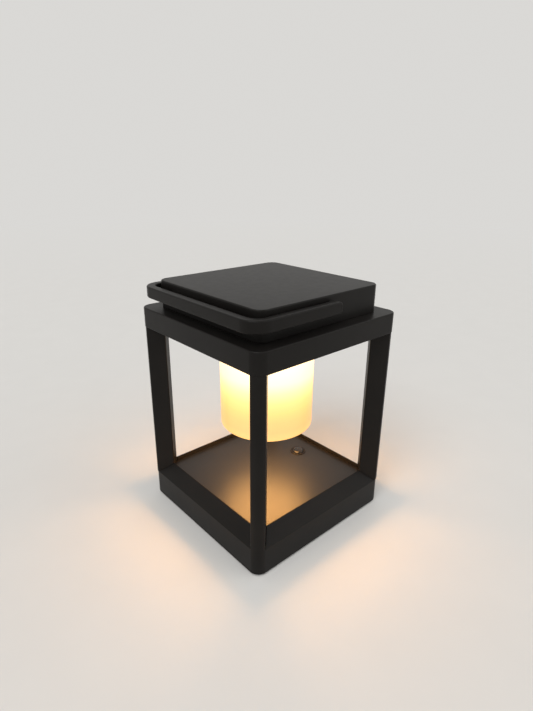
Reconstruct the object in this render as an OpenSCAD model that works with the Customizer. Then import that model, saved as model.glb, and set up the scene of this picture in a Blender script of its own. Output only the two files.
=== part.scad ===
// Lantern table lamp: a square base and a square top frame joined by four corner
// posts, an opal diffuser that hangs from the top frame, and a carrying handle
// that folds round the cap.
//
// Frame: origin at the middle of the base, on the table. +Z is up. +X runs along
// the front right face, from the front corner to the right corner, and +Y along
// the front left face, from the front corner to the left corner. Millimetres.

/* [Plan] */
// Width of the square top frame, the widest part of the lamp
body_w = 150; // [130:1:200]
// Radius of the vertical corners of the top frame
corner_r = 9.4; // [9:0.1:12]
// How far the base stands inside the outline of the top frame
base_inset = 0.8; // [0.4:0.1:2]
// How far the outer face of a post stands inside the outline of the top frame
post_inset = 0.3; // [0.2:0.1:1]
// Distance from the outline of the top frame to the edge of the deck
deck_in = 12; // [12:0.1:14]

/* [Base] */
// Height of the gap that the rubber feet keep under the base
foot_gap = 1.5; // [1:0.1:3]
// Height of the upright skirt of the base
skirt_h = 22.5; // [16.5:0.1:24]
// Height that the slope of the rim climbs above the skirt
slope_h = 9.5; // [8:0.1:11]
// Width of the flat on top of the rim
ridge_w = 0.8; // [0.6:0.1:3]
// Depth of the deck below the top of the rim
deck_drop = 3.7; // [1:0.1:4]
// Thickness of the deck plate
deck_t = 1.5; // [1:0.1:2]
// Wall thickness of the rim casting
rim_wall = 2.2; // [1.8:0.1:3]
// Thickness of the bottom cover
cover_t = 2; // [1.6:0.1:3]
// Diameter of a rubber foot
foot_d = 14; // [8:0.5:18]
// Depth of the pocket that a foot is glued into
foot_pocket = 0.8; // [0.4:0.1:1]

/* [Posts] */
// Length of a post between its seat in the base and the top frame
post_h = 140.7; // [110:0.1:240]
// Width of a post across the diagonal
post_w = 11; // [9:0.1:13]
// Depth of a post along the diagonal, from its flat inner face to its round outer face
post_depth = 17.2; // [15:0.1:18]
// Radius that eases the four edges of a post
post_edge_r = 0.8; // [0.3:0.1:1]
// Diameter of the channel in a post that takes the lead
lead_channel_d = 4; // [3:0.1:5]

/* [Top] */
// Height of the top frame
frame_h = 16.8; // [14:0.1:24]
// Wall thickness of the top frame
frame_wall = 2.5; // [2:0.1:3]
// Thickness of the ceiling plate
ceiling_t = 2; // [1.6:0.1:3]
// Width of the ledge that the top frame leaves round the cap
cap_ledge = 11.75; // [9:0.25:16]
// Radius of the vertical corners of the cap
cap_r = 8; // [5:0.5:12]
// Height of the cap
cap_h = 22.6; // [20:0.1:30]
// Wall thickness of the cap
cap_wall = 2.2; // [1.6:0.1:3]
// Radius that rounds the outer edges of the top frame and the cap
edge_r = 1; // [0.4:0.1:1.6]

/* [Diffuser] */
// Outer diameter of the diffuser
diffuser_d = 80; // [60:1:86]
// Length of the diffuser below the top frame
diffuser_drop = 85.5; // [50:0.1:100]
// Wall thickness of the diffuser
diffuser_wall = 2; // [1.5:0.1:3]
// Radius of the bottom edge of the diffuser
diffuser_edge_r = 3; // [2:0.1:6]

/* [Handle] */
// Thickness of the handle bar, seen from above
handle_t = 7; // [5:0.1:8]
// Height of the handle bar
handle_h = 9.3; // [7:0.1:11]
// Gap between an arm of the handle and the side of the cap
handle_gap = 1.25; // [1:0.05:2]
// Gap for a fingertip between the cross bar of the handle and the side of the cap
finger_gap = 4.75; // [4.5:0.25:12]
// Radius of the two corners at the end of an arm
handle_end_r = 3; // [2:0.1:3.4]
// Outer corner radius of the handle
handle_corner_r = 15; // [10:0.5:20]
// Place of the pivots along X, from the middle of the lamp
pivot_x = 4.5; // [-10:0.5:20]
// Height of the pivots above the bottom of the cap
pivot_h = 14; // [12:0.1:16]
// Diameter of a pivot pin
pin_d = 4; // [3:0.1:5]

/* [Button] */
// Distance from the outline of the lamp to the middle of the button
button_edge = 33; // [29:0.5:41]
// Diameter of the button
button_d = 10.8; // [8:0.1:12]
// Height of the button above its ring
button_rise = 1.5; // [1.3:0.1:3]
// Travel of the button
button_travel = 1.2; // [0.6:0.1:1.3]

/* [Hidden] */
$fn = 64;
fine = 128;                    // sides of the large round parts
sliver = 0.01;                 // how far one solid sinks into another that it joins
crisp_r = 0.3;                 // radius of an edge that looks sharp
over = 1;                      // how far a cutter runs past the face that it opens

// Clearances
fit_gap = 0.3;                 // between a cover or plate and the wall round it
slip = 0.05;                   // radial, between a turning pin and its bush
press = 0.02;                  // radial, between a fixed pin or screw and its hole
button_slip = 0.08;            // radial, between the button and its ring
seam = 0.4;                    // round a post where it enters the rim

// Small fasteners
screw_d = 2.4;                 // shank
screw_hole_d = 3.2;            // hole that a shank passes through
board_hole_d = 2.8;            // the same, in a circuit board or the clamp ring
head_d = 5;
head_h = 1.8;
socket_d = 2.6;                // hexagon socket in a head
socket_deep = 1;
boss_d = 7;
screw_grip = 8;                // length of thread in a boss or post
short_grip = 5;                // length of thread in a pillar
end_play = 1;                  // left empty at the end of a blind hole
wall_bosses = [for (x = [-1, 1], y = [-1, 1]) [x, y]];

// Plan
half_w = body_w / 2;
core = half_w - corner_r;      // half side of the square that joins the corner centres
cap_half = half_w - cap_ledge;
post_r = corner_r - post_inset;
base_r = corner_r - base_inset;
deck_half = half_w - deck_in;
post_out = core * sqrt(2) + post_r;      // from the axis of the lamp to the outer face
post_in = post_out - post_depth;
screw_channel_in = 5.3;                  // from the outer face to the middle of the screw channel
channel_pitch = 6;
screw_channel_at = post_out - screw_channel_in;
lead_channel_at = screw_channel_at - channel_pitch;

// Levels
base_z = foot_gap;
seat_z = base_z + skirt_h;
ridge_z = seat_z + slope_h;
deck_z = ridge_z - deck_drop;
deck_under = deck_z - deck_t;
cover_top = base_z + cover_t;
frame_z = seat_z + post_h;
ceiling_top = frame_z + ceiling_t;
frame_top = frame_z + frame_h;
cap_z = frame_top;
cap_top = cap_z + cap_h;

// Rim of the base
inner_r = base_r - rim_wall;             // inside of the skirt, at a corner
skirt_edge_r = 0.8;                      // where the slope of the rim meets its skirt
ridge_edge_r = 0.5;                      // where it meets the flat on top
ledge_w = 3;                             // what the deck plate lies on
ledge_t = 1.5;
rib_t = 2;                               // of the upright rib that the deck lies against
rim_in = deck_half - core;               // inner face of the rim, from the corner centres
rib_out = rim_in + rib_t;                // back of the rib beside the deck
slope_foot = rim_in + ridge_w;           // where the slope ends at the flat on top
slope_run = base_r - slope_foot;
slope_drop = rim_wall * sqrt(1 + pow(slope_h / slope_run, 2));
corner_boss_t = 4;
corner_boss_r = 10;
corner_boss_in = 7.3;                    // from the inner face of a post to the middle of its boss
corner_boss_at = post_in + corner_boss_in;
boss_out = 3;                            // from the edge of the deck to a boss
boss_line = deck_half + boss_out;
boss_y = 35;
foot_in = 5;                             // from the edge of the deck to the middle of a foot
foot_edge_r = 0.4;

// Top frame
flange_t = 2.5;
flange_lap = 10.25;                      // how far the flange reaches under the cap
flange_in = cap_half - flange_lap;
frame_inner_r = corner_r - frame_wall;
frame_edge_r = 0.6;                      // bottom edge of the frame
boss_clear = 1;                          // between a boss and the wall beside it
frame_boss_line = core + frame_inner_r - boss_d / 2 - boss_clear;
frame_boss_y = 30;
cap_core = cap_half - cap_r;
cap_boss_x = cap_half - cap_wall - boss_d / 2 - boss_clear;
cap_boss_y = 40;

// Light source
diffuser_z = frame_z - diffuser_drop;
flange_w = 4;                            // how far the lip of the diffuser stands out
lip_r = diffuser_d / 2 + flange_w;
lip_t = 2;
gasket_t = 0.8;
clamp_w = 6;
clamp_t = 2;
clamp_r = lip_r + fit_gap + clamp_w;
clamp_lap = 3;                           // how far the clamp ring reaches inside the diffuser
clamp_in = diffuser_d / 2 - clamp_lap;
clamp_z = ceiling_top + lip_t + gasket_t;
clamp_top = clamp_z + clamp_t;
clamp_screws_n = 3;
clamp_head_d = 4;
led_board_in = 1;                        // from the outline of the lip to the edge of the board
led_board_r = lip_r - led_board_in;
board_t = 1.6;
led_size = 3.5;
led_t = 0.8;
led_pitch = 10;                          // from one ring of chips to the next
led_rings_n = 3;
leds_a_ring = 4;                         // more on each ring than on the one inside it
spreader_z = clamp_top + board_t;
spreader_t = 2;
fin_t = 1.2;
fin_h = 5;
fin_pitch = 8;
fins_n = 9;
fins_in = 4;                             // from the edge of the spreader to the ends of the fins
driver_l = 70;
driver_w = 30;
driver_lift = 9;
driver_z = spreader_z + spreader_t + driver_lift;
standoff_d = 5;
standoff_x = 5;                          // from the edges of the driver board
standoff_y = 4;

// Handle and its pivots
handle_out = cap_half + finger_gap + handle_t;          // outer face of the cross bar
arm_in = cap_half + handle_gap;                         // inner face of an arm
arm_out = arm_in + handle_t;
pivot_z = cap_z + pivot_h;
handle_edge_r = 1.2;
pin_bite = 4.5;                                         // depth of a pin in its arm
pin_head_d = 7;
pin_head_h = 1.2;
bush_wall = 1.5;
bush_d = pin_d + 2 * (slip + bush_wall);
bush_flange_d = bush_d + 2 * bush_wall;
bush_flange_t = 1;
bush_in = cap_half - cap_wall - bush_flange_t;
washer_d = 9;
washer_t = handle_gap - 2 * fit_gap;

// Button and the board under it
ring_t = 0.6;
ring_lip = 1.2;
ring_wall = 0.9;
ring_edge_r = 0.4;
ring_hole_d = button_d + 2 * button_slip;
ring_sleeve_d = ring_hole_d + 2 * ring_wall;
ring_sleeve_l = 2.5;                     // below the deck plate
ring_bottom = deck_under - ring_sleeve_l;
collar_t = 1.8;
button_bottom = ring_bottom - fit_gap - collar_t;
button_top = deck_z + ring_t + button_rise;
button_crown = 0.4;                      // how much lower the rim of the button is
button_edge_r = 1;
button_crown_r = 3;
button_x = half_w - button_edge;
plunger_d = 3.4;
plunger_over = 0.4;                      // what stands above the switch when it is pressed
plunger_sunk = 0.8;                      // bottom of the pressed plunger, above that of the switch
switch_w = 6.2;
switch_h = 3.6;
switch_floor = 0.6;
plunger_show = button_travel + plunger_over;
switch_z = button_bottom - plunger_show - switch_h;
board_z = switch_z - board_t;
board_l = 48;
board_w = 36;
board_gap = 2;                           // between the board and the skirt
board_out = core + inner_r - board_gap;
board_pillar_d = 5;
pillar_in = 3.5;
pillar_out = deck_half - ledge_w - board_pillar_d / 2 - fit_gap;   // clear of the ledge of the rim
socket_l = 7.4;
socket_w = 8.9;
socket_h = 3.2;
socket_wall = 0.35;
socket_back = 1;
socket_out = 1.5;                        // how far the socket passes the edge of the board
tongue_w = 6;
tongue_t = 0.7;

// Battery
cell_d = 18.4;
cell_l = 65;
cell_pitch = 20;
cells_x = -22;
cell_lift = 0.5;
cell_z = cover_top + cell_lift + cell_d / 2;
cell_cap_d = 6;
cell_cap_h = 1;
cradle_side = 2.5;                       // beside the cells
rail_t = 1.6;
saddle_t = 4;
saddle_h = 8;
saddle_y = 22;

// Lead from the board up the back post to the driver
lead_d = 2.4;
plug_l = 6;
plug_w = 5;
plug_h = 4;
lead_post = lead_channel_at / sqrt(2);
lead_low = board_z + board_t + plug_h / 2;
lead_rise = 6;                           // how far the lead comes out of the post
lead_high = ceiling_top + lead_rise;
lead_drop = 5;                           // from the board down to the foot of the post
lead_run = 16;                           // length of its slant from the board to the post
lead_board_x = button_x;
lead_board_y = board_w / 2 - plug_l / 2;
lead_clear = 3;                          // beside the clamp ring
lead_top = (clamp_r + lead_clear) / sqrt(2);
lead_climb = 4;
lead_loop = 10;                          // beside the driver board
plug_in = 12;                            // from the end of the driver board to the lead
lead_driver_x = driver_l / 2 - plug_in;
lead_bend = 4;

// Colours
BLACK = [0.03, 0.03, 0.03];
RUBBER = [0.06, 0.06, 0.06];
STEEL = [0.7, 0.7, 0.72];
ALUMINIUM = [0.75, 0.76, 0.78];
OPAL = [0.98, 0.94, 0.84];
BOARD = [0.05, 0.3, 0.15];
WHITE = [0.9, 0.9, 0.88];
CELL = [0.15, 0.3, 0.6];
BRASS = [0.8, 0.65, 0.3];
PHOSPHOR = [1, 0.9, 0.5];

// ---- Outlines -------------------------------------------------------------

function unit(v) = v / norm(v);

// The arc that rounds corner p, between its neighbours a and b, with radius r
function rounded_corner(a, p, b, r, steps = 5) =
  r == 0 ? [p] :
  let (u = unit(a - p), v = unit(b - p), half = acos(u * v) / 2,
       c = p + unit(u + v) * r / sin(half),
       s = p + u * r / tan(half) - c, e = p + v * r / tan(half) - c,
       a0 = atan2(s.y, s.x), turn = (atan2(e.y, e.x) - a0 + 540) % 360 - 180)
  [for (i = [0:steps]) c + r * [cos(a0 + turn * i / steps), sin(a0 + turn * i / steps)]];

// An outline given as [x, y, radius] points, with each corner rounded
function rounded(pts) =
  let (n = len(pts), xy = [for (p = pts) [p.x, p.y]])
  [for (i = [0:n - 1])
    each rounded_corner(xy[(i + n - 1) % n], xy[i], xy[(i + 1) % n], pts[i][2])];

// ---- Shared shapes --------------------------------------------------------

// The part of an outline where x is not below 0
function outer_part(pts) = [
  for (i = [0:len(pts) - 1])
    let (p = pts[i], q = pts[(i + 1) % len(pts)])
    each concat(p.x < 0 ? [] : [p], (p.x < 0) == (q.x < 0) ? [] : [p + (q - p) * p.x / (p.x - q.x)])
];

// A profile in (distance out, height) carried round a square with half side c. What lies inside
// the corner centres has no arc to follow there, and so only the straight sides carry it.
module square_ring(c, profile) {
  for (k = [0:3])
    rotate(90 * k)
      translate([c, c, 0]) {
        rotate([90, 0, 0]) linear_extrude(2 * c) polygon(profile);
        rotate_extrude(angle = 90) polygon(outer_part(profile));
      }
}

// A flat plate with round corners: half side c plus r, from z0 to z1
module square_plate(c, r, z0, z1) {
  square_ring(c, [[0, z0], [r, z0], [r, z1], [0, z1]]);
  translate([-c, -c, z0]) cube([2 * c, 2 * c, z1 - z0]);
}

// Four copies, one turned to each corner of the lamp, with +X along the diagonal
module at_corners() {
  for (k = [0:3]) rotate(45 + 90 * k) children();
}

// Section of a post, seen from above, with +X pointing out of the lamp
function post_section(grow = 0, steps = 8) =
  let (half = post_w / 2 + grow, r = post_r + grow, swing = asin(half / r))
  rounded([
    [post_in - grow, half, post_edge_r],
    [post_in - grow, -half, post_edge_r],
    for (k = [0:steps])
      let (a = swing * (2 * k / steps - 1), end = k == 0 || k == steps)
      [core * sqrt(2) + r * cos(a), r * sin(a), end ? post_edge_r : 0]
  ]);

// Space that the four posts take where they enter the base
module post_pockets(z0, z1) {
  at_corners() translate([0, 0, z0]) linear_extrude(z1 - z0) polygon(post_section(seam));
}

// A cap screw with its head at z = 0 and up, and its shank below
module screw(len, head = head_d) {
  difference() {
    cylinder(d = head, h = head_h);
    translate([0, 0, head_h - socket_deep])
      cylinder(d = socket_d, h = socket_deep + sliver, $fn = 6);
  }
  translate([0, 0, -len]) cylinder(d = screw_d, h = len);
}

// The way through the given points, with each bend rounded from reach short of its corner
function bent(pts, reach, steps = 4) = [
  pts[0],
  for (i = [1:len(pts) - 2])
    let (s = pts[i] + reach * unit(pts[i - 1] - pts[i]), e = pts[i] + reach * unit(pts[i + 1] - pts[i]))
    for (k = [0:steps])
      let (t = k / steps) pow(1 - t, 2) * s + 2 * t * (1 - t) * pts[i] + t * t * e,
  pts[len(pts) - 1]
];

// For each tangent in turn, a normal carried along from the one before
function normals(ts, n, i = 0) =
  i == len(ts) ? [] :
  let (m = unit(n - ts[i] * (n * ts[i]))) concat([m], normals(ts, m, i + 1));

// A round tube along a way
module tube(way, r, sides = 8) {
  last = len(way) - 1;
  ts = [for (i = [0:last]) unit(way[min(i + 1, last)] - way[max(i - 1, 0)])];
  ns = normals(ts, [1, 1, 1]);
  polyhedron(
    points = [for (i = [0:last], k = [0:sides - 1])
      let (a = 360 * k / sides) way[i] + r * (cos(a) * ns[i] + sin(a) * cross(ts[i], ns[i]))],
    faces = concat(
      [[for (k = [0:sides - 1]) k]],
      [for (i = [0:last - 1], k = [0:sides - 1])
        [i * sides + k, (i + 1) * sides + k, (i + 1) * sides + (k + 1) % sides,
         i * sides + (k + 1) % sides]],
      [[for (k = [sides - 1:-1:0]) last * sides + k]]
    )
  );
}

// ---- Base -----------------------------------------------------------------

module base_rim() {
  inner_slope = slope_h / slope_run;
  inner_top = ridge_z - slope_drop;
  profile = rounded([
    [inner_r, base_z, 0],
    [base_r, base_z, crisp_r],
    [base_r, seat_z, skirt_edge_r],
    [slope_foot, ridge_z, ridge_edge_r],
    [rim_in, ridge_z, crisp_r],
    [rim_in, deck_under - ledge_t, 0],
    [rib_out, deck_under - ledge_t, 0],
    [rib_out, inner_top - (rib_out - slope_foot) * inner_slope, 0],
    [inner_r, inner_top - (inner_r - slope_foot) * inner_slope, 0]
  ]);
  color(BLACK) difference() {
    union() {
      square_ring(core, profile);
      // Ledge that carries the deck plate
      translate([0, 0, deck_under - ledge_t]) linear_extrude(ledge_t) difference() {
        square(2 * (deck_half + sliver), center = true);
        square(2 * (deck_half - ledge_w), center = true);
      }
      // Bosses that carry the posts
      intersection() {
        square_plate(core, inner_r + sliver, seat_z - corner_boss_t, seat_z);
        at_corners() translate([corner_boss_at, 0, base_z]) cylinder(r = corner_boss_r, h = ridge_z);
      }
      // Bosses for the screws of the cover
      for (b = wall_bosses) translate([b.x * boss_line, b.y * boss_y, cover_top])
        cylinder(d = boss_d, h = deck_under - ledge_t / 2 - cover_top);
    }
    post_pockets(seat_z, ridge_z + over);
    at_corners() {
      translate([screw_channel_at, 0, 0]) cylinder(d = screw_hole_d, h = ridge_z);
      translate([lead_channel_at, 0, 0]) cylinder(d = lead_channel_d, h = ridge_z);
    }
    for (b = wall_bosses) translate([b.x * boss_line, b.y * boss_y, cover_top - sliver])
      cylinder(r = screw_d / 2 + press, h = screw_grip + end_play);
    // Mouth of the charge socket
    translate([core + inner_r - over, 0, board_z + board_t + socket_h / 2])
      rotate([90, 0, 90]) linear_extrude(rim_wall + 2 * over) socket_outline(fit_gap);
  }
}

module deck_plate() {
  color(BLACK) difference() {
    union() {
      translate([0, 0, deck_under]) linear_extrude(deck_t)
        square(2 * (deck_half - fit_gap / 2), center = true);
      board_pillars() cylinder(d = board_pillar_d, h = deck_under - board_z - board_t);
    }
    post_pockets(deck_under - over, deck_z + over);
    translate([button_x, 0, deck_under - over])
      cylinder(r = ring_sleeve_d / 2 + slip, h = deck_t + 2 * over);
    board_pillars() translate([0, 0, -over])
      cylinder(r = screw_d / 2 + press, h = short_grip + end_play + over);
  }
}

// Places of the pillars that hold the control board, at the top of the board
module board_pillars() {
  for (x = [board_out - board_l + pillar_in, pillar_out], y = [-1, 1])
    translate([x, y * (board_w / 2 - pillar_in), board_z + board_t]) children();
}

module bottom_cover() {
  color(BLACK) difference() {
    square_plate(core, inner_r - fit_gap, base_z, cover_top);
    for (b = wall_bosses) translate([b.x * boss_line, b.y * boss_y, 0]) {
      cylinder(d = screw_hole_d, h = ridge_z);
      cylinder(d = head_d + 2 * fit_gap, h = base_z + cover_t / 2);
    }
    feet_places() translate([0, 0, base_z - sliver])
      cylinder(r = foot_d / 2 + press, h = foot_pocket + sliver);
  }
}

module feet_places() {
  for (b = wall_bosses) translate([b.x * (deck_half - foot_in), b.y * (deck_half - foot_in), 0]) children();
}

module rubber_feet() {
  top = base_z + foot_pocket;
  profile = rounded([
    [0, 0, 0], [foot_d / 2, 0, foot_edge_r], [foot_d / 2, top, 0], [0, top, 0]
  ]);
  color(RUBBER) feet_places() rotate_extrude() polygon(profile);
}

module cover_screws() {
  color(STEEL) for (b = wall_bosses)
    translate([b.x * boss_line, b.y * boss_y, base_z + cover_t / 2]) mirror([0, 0, 1])
      intersection() {
        screw(cover_t / 2 + screw_grip);
        translate([0, 0, -2 * screw_grip]) cylinder(d = head_d, h = 2 * screw_grip + cover_t / 2);
      }
}

module battery_cells() {
  color(CELL) for (s = [-1, 1])
    translate([cells_x + s * cell_pitch / 2, -cell_l / 2, cell_z]) rotate([-90, 0, 0]) {
      cylinder(d = cell_d, h = cell_l);
      translate([0, 0, cell_l]) cylinder(d = cell_cap_d, h = cell_cap_h);
    }
}

module battery_cradle() {
  long = cell_pitch + cell_d + 2 * cradle_side;
  color(BLACK) {
    difference() {
      for (s = [-1, 1])
        translate([cells_x - long / 2, s * saddle_y - saddle_t / 2, cover_top])
          cube([long, saddle_t, saddle_h]);
      for (s = [-1, 1]) translate([cells_x + s * cell_pitch / 2, 0, cell_z]) rotate([90, 0, 0])
        cylinder(r = cell_d / 2 + slip, h = 3 * saddle_y, center = true);
    }
    for (s = [-1, 1])
      translate([cells_x + s * (long - rail_t) / 2 - rail_t / 2, -saddle_y, cover_top])
        cube([rail_t, 2 * saddle_y, saddle_h]);
  }
}

module control_board() {
  color(BOARD) difference() {
    translate([board_out - board_l, -board_w / 2, board_z]) cube([board_l, board_w, board_t]);
    board_pillars() translate([0, 0, -2 * board_t])
      cylinder(d = board_hole_d, h = 3 * board_t);
  }
}

module board_screws() {
  color(STEEL) board_pillars() translate([0, 0, -board_t]) mirror([0, 0, 1])
    screw(board_t + short_grip);
}

module socket_outline(grow = 0) {
  r = socket_h / 2 + grow;
  for (s = [-1, 1]) translate([s * (socket_w / 2 - socket_h / 2), 0]) circle(r);
  square([socket_w - socket_h, 2 * r], center = true);
}

module charge_socket() {
  color(STEEL)
    translate([board_out + socket_out - socket_l, 0, board_z + board_t + socket_h / 2])
    rotate([90, 0, 90]) {
      difference() {
        linear_extrude(socket_l) socket_outline();
        translate([0, 0, socket_back]) linear_extrude(socket_l) socket_outline(-socket_wall);
      }
      translate([-tongue_w / 2, -tongue_t / 2, socket_back / 2])
        cube([tongue_w, tongue_t, socket_l - socket_back]);
    }
}

// ---- Button ---------------------------------------------------------------

module tact_switch() {
  color(BLACK) translate([button_x, 0, 0]) difference() {
    translate([-switch_w / 2, -switch_w / 2, switch_z]) cube([switch_w, switch_w, switch_h]);
    translate([0, 0, switch_z + switch_floor])
      cylinder(r = plunger_d / 2 + slip, h = switch_h);
  }
}

module switch_plunger() {
  foot = switch_z + plunger_sunk + button_travel;
  color(WHITE) translate([button_x, 0, foot]) cylinder(d = plunger_d, h = button_bottom - foot);
}

module power_button() {
  profile = rounded([
    [0, button_bottom, 0],
    [button_d / 2 + ring_wall, button_bottom, 0],
    [button_d / 2 + ring_wall, button_bottom + collar_t, 0],
    [button_d / 2, button_bottom + collar_t, 0],
    [button_d / 2, button_top - button_crown, button_edge_r],
    [button_d / 4, button_top, button_crown_r],
    [0, button_top, 0]
  ]);
  color(BLACK) translate([button_x, 0, 0]) rotate_extrude() polygon(profile);
}

module button_ring() {
  profile = rounded([
    [ring_hole_d / 2, ring_bottom, 0],
    [ring_sleeve_d / 2, ring_bottom, 0],
    [ring_sleeve_d / 2, deck_z, 0],
    [ring_sleeve_d / 2 + ring_lip, deck_z, 0],
    [ring_sleeve_d / 2 + ring_lip, deck_z + ring_t, ring_edge_r],
    [ring_hole_d / 2, deck_z + ring_t, crisp_r]
  ]);
  color(BLACK) translate([button_x, 0, 0]) rotate_extrude() polygon(profile);
}

// ---- Posts ----------------------------------------------------------------

module post(turn) {
  color(BLACK) rotate(turn) translate([0, 0, seat_z]) difference() {
    linear_extrude(post_h) polygon(post_section());
    translate([screw_channel_at, 0, -over])
      cylinder(r = screw_d / 2 + press, h = post_h + 2 * over);
    translate([lead_channel_at, 0, -over])
      cylinder(d = lead_channel_d, h = post_h + 2 * over);
  }
}

module post_front() { post(225); }
module post_right() { post(315); }
module post_back() { post(45); }
module post_left() { post(135); }

module lower_post_screws() {
  color(STEEL) at_corners()
    translate([screw_channel_at, 0, seat_z - corner_boss_t]) mirror([0, 0, 1])
      screw(corner_boss_t + screw_grip);
}

module upper_post_screws() {
  color(STEEL) at_corners()
    translate([screw_channel_at, 0, ceiling_top]) screw(ceiling_t + screw_grip);
}

// ---- Top frame ------------------------------------------------------------

module top_frame() {
  profile = rounded([
    [frame_inner_r, frame_z, 0],
    [corner_r, frame_z, frame_edge_r],
    [corner_r, frame_top, edge_r],
    [0, frame_top, 0],
    [0, frame_top - flange_t, 0],
    [frame_inner_r, frame_top - flange_t, 0]
  ]);
  color(BLACK) difference() {
    union() {
      square_ring(core, profile);
      // Flange under the cap
      translate([0, 0, frame_top - flange_t]) linear_extrude(flange_t) difference() {
        square(2 * (core + sliver), center = true);
        square(2 * flange_in, center = true);
      }
      frame_bosses() cylinder(d = boss_d, h = frame_top - flange_t / 2 - ceiling_top);
    }
    frame_bosses() translate([0, 0, -over])
      cylinder(r = screw_d / 2 + press, h = screw_grip + over);
    cap_bosses() translate([0, 0, -2 * flange_t]) cylinder(d = screw_hole_d, h = 3 * flange_t);
  }
}

module frame_bosses() {
  for (b = wall_bosses)
    translate([b.x * frame_boss_line, b.y * frame_boss_y, ceiling_top]) children();
}

module cap_bosses() {
  for (b = wall_bosses) translate([b.x * cap_boss_x, b.y * cap_boss_y, cap_z]) children();
}

module ceiling_plate() {
  color(BLACK) difference() {
    square_plate(core, frame_inner_r - fit_gap, frame_z, ceiling_top);
    translate([0, 0, frame_z - over])
      cylinder(r = diffuser_d / 2 + fit_gap, h = ceiling_t + 2 * over, $fn = fine);
    frame_bosses() {
      translate([0, 0, -2 * ceiling_t]) cylinder(d = screw_hole_d, h = 3 * ceiling_t);
      translate([0, 0, -2 * ceiling_t]) cylinder(d = head_d + 2 * fit_gap, h = 1.5 * ceiling_t);
    }
    at_corners() {
      translate([screw_channel_at, 0, frame_z - over])
        cylinder(d = screw_hole_d, h = ceiling_t + 2 * over);
      translate([lead_channel_at, 0, frame_z - over])
        cylinder(d = lead_channel_d, h = ceiling_t + 2 * over);
    }
    clamp_screw_places() translate([0, 0, ceiling_top - clamp_top - 0.75 * ceiling_t])
      cylinder(r = screw_d / 2 + press, h = ceiling_t);
  }
}

module ceiling_screws() {
  color(STEEL) frame_bosses() translate([0, 0, -ceiling_t / 2]) mirror([0, 0, 1])
    intersection() {
      screw(ceiling_t / 2 + screw_grip - end_play);
      translate([0, 0, -2 * screw_grip]) cylinder(d = head_d, h = 2 * screw_grip + ceiling_t / 2);
    }
}

// ---- Light source ---------------------------------------------------------

module diffuser() {
  r = diffuser_d / 2;
  profile = rounded([
    [0, diffuser_z, 0],
    [r, diffuser_z, diffuser_edge_r],
    [r, ceiling_top, 0],
    [lip_r, ceiling_top, 0],
    [lip_r, ceiling_top + lip_t, 0],
    [r - diffuser_wall, ceiling_top + lip_t, 0],
    [r - diffuser_wall, diffuser_z + diffuser_wall, diffuser_edge_r / 2],
    [0, diffuser_z + diffuser_wall, 0]
  ]);
  color(OPAL) rotate_extrude($fn = fine) polygon(profile);
}

module diffuser_gasket() {
  color(RUBBER) translate([0, 0, ceiling_top + lip_t]) difference() {
    cylinder(r = lip_r, h = gasket_t, $fn = fine);
    translate([0, 0, -over])
      cylinder(r = diffuser_d / 2, h = gasket_t + 2 * over, $fn = fine);
  }
}

module clamp_ring() {
  color(WHITE) difference() {
    rotate_extrude($fn = fine) polygon([
      [lip_r + fit_gap, ceiling_top], [clamp_r, ceiling_top], [clamp_r, clamp_top],
      [clamp_in, clamp_top], [clamp_in, clamp_z], [lip_r + fit_gap, clamp_z]
    ]);
    clamp_screw_places() cylinder(d = board_hole_d, h = 4 * clamp_top, center = true);
  }
}

module clamp_screw_places() {
  for (k = [0:clamp_screws_n - 1]) rotate(30 + 360 * k / clamp_screws_n)
    translate([clamp_r - clamp_w / 2, 0, clamp_top]) children();
}

module clamp_screws() {
  color(STEEL) clamp_screw_places()
    screw(clamp_top - ceiling_top + ceiling_t / 2, clamp_head_d);
}

module led_board() {
  color(WHITE) translate([0, 0, clamp_top]) cylinder(r = led_board_r, h = board_t, $fn = fine);
}

module led_chips() {
  color(PHOSPHOR) for (ring = [1:led_rings_n])
    for (k = [1:ring * leds_a_ring]) rotate(360 * k / (ring * leds_a_ring))
      translate([ring * led_pitch - led_size / 2, -led_size / 2, clamp_top - led_t])
        cube([led_size, led_size, led_t]);
}

module heat_spreader() {
  color(ALUMINIUM) {
    translate([0, 0, spreader_z]) cylinder(r = led_board_r, h = spreader_t, $fn = fine);
    intersection() {
      translate([0, 0, spreader_z])
        cylinder(r = led_board_r - fins_in, h = spreader_t + fin_h, $fn = fine);
      for (k = [-(fins_n - 1) / 2 : (fins_n - 1) / 2])
        translate([-led_board_r, k * fin_pitch - fin_t / 2, spreader_z])
          cube([2 * led_board_r, fin_t, spreader_t + fin_h]);
    }
    difference() {
      driver_pillars() cylinder(d = standoff_d, h = driver_z - spreader_z);
      driver_pillars() translate([0, 0, driver_z - spreader_z - short_grip - end_play])
        cylinder(r = screw_d / 2 + press, h = short_grip + end_play + over);
    }
  }
}

module driver_pillars() {
  for (x = [-1, 1], y = [-1, 1])
    translate([x * (driver_l / 2 - standoff_x), y * (driver_w / 2 - standoff_y), spreader_z])
      children();
}

module driver_board() {
  color(BOARD) difference() {
    translate([-driver_l / 2, -driver_w / 2, driver_z]) cube([driver_l, driver_w, board_t]);
    driver_pillars() cylinder(d = board_hole_d, h = driver_z);
  }
}

module driver_screws() {
  color(STEEL) driver_pillars() translate([0, 0, driver_z - spreader_z + board_t])
    screw(board_t + short_grip);
}

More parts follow.
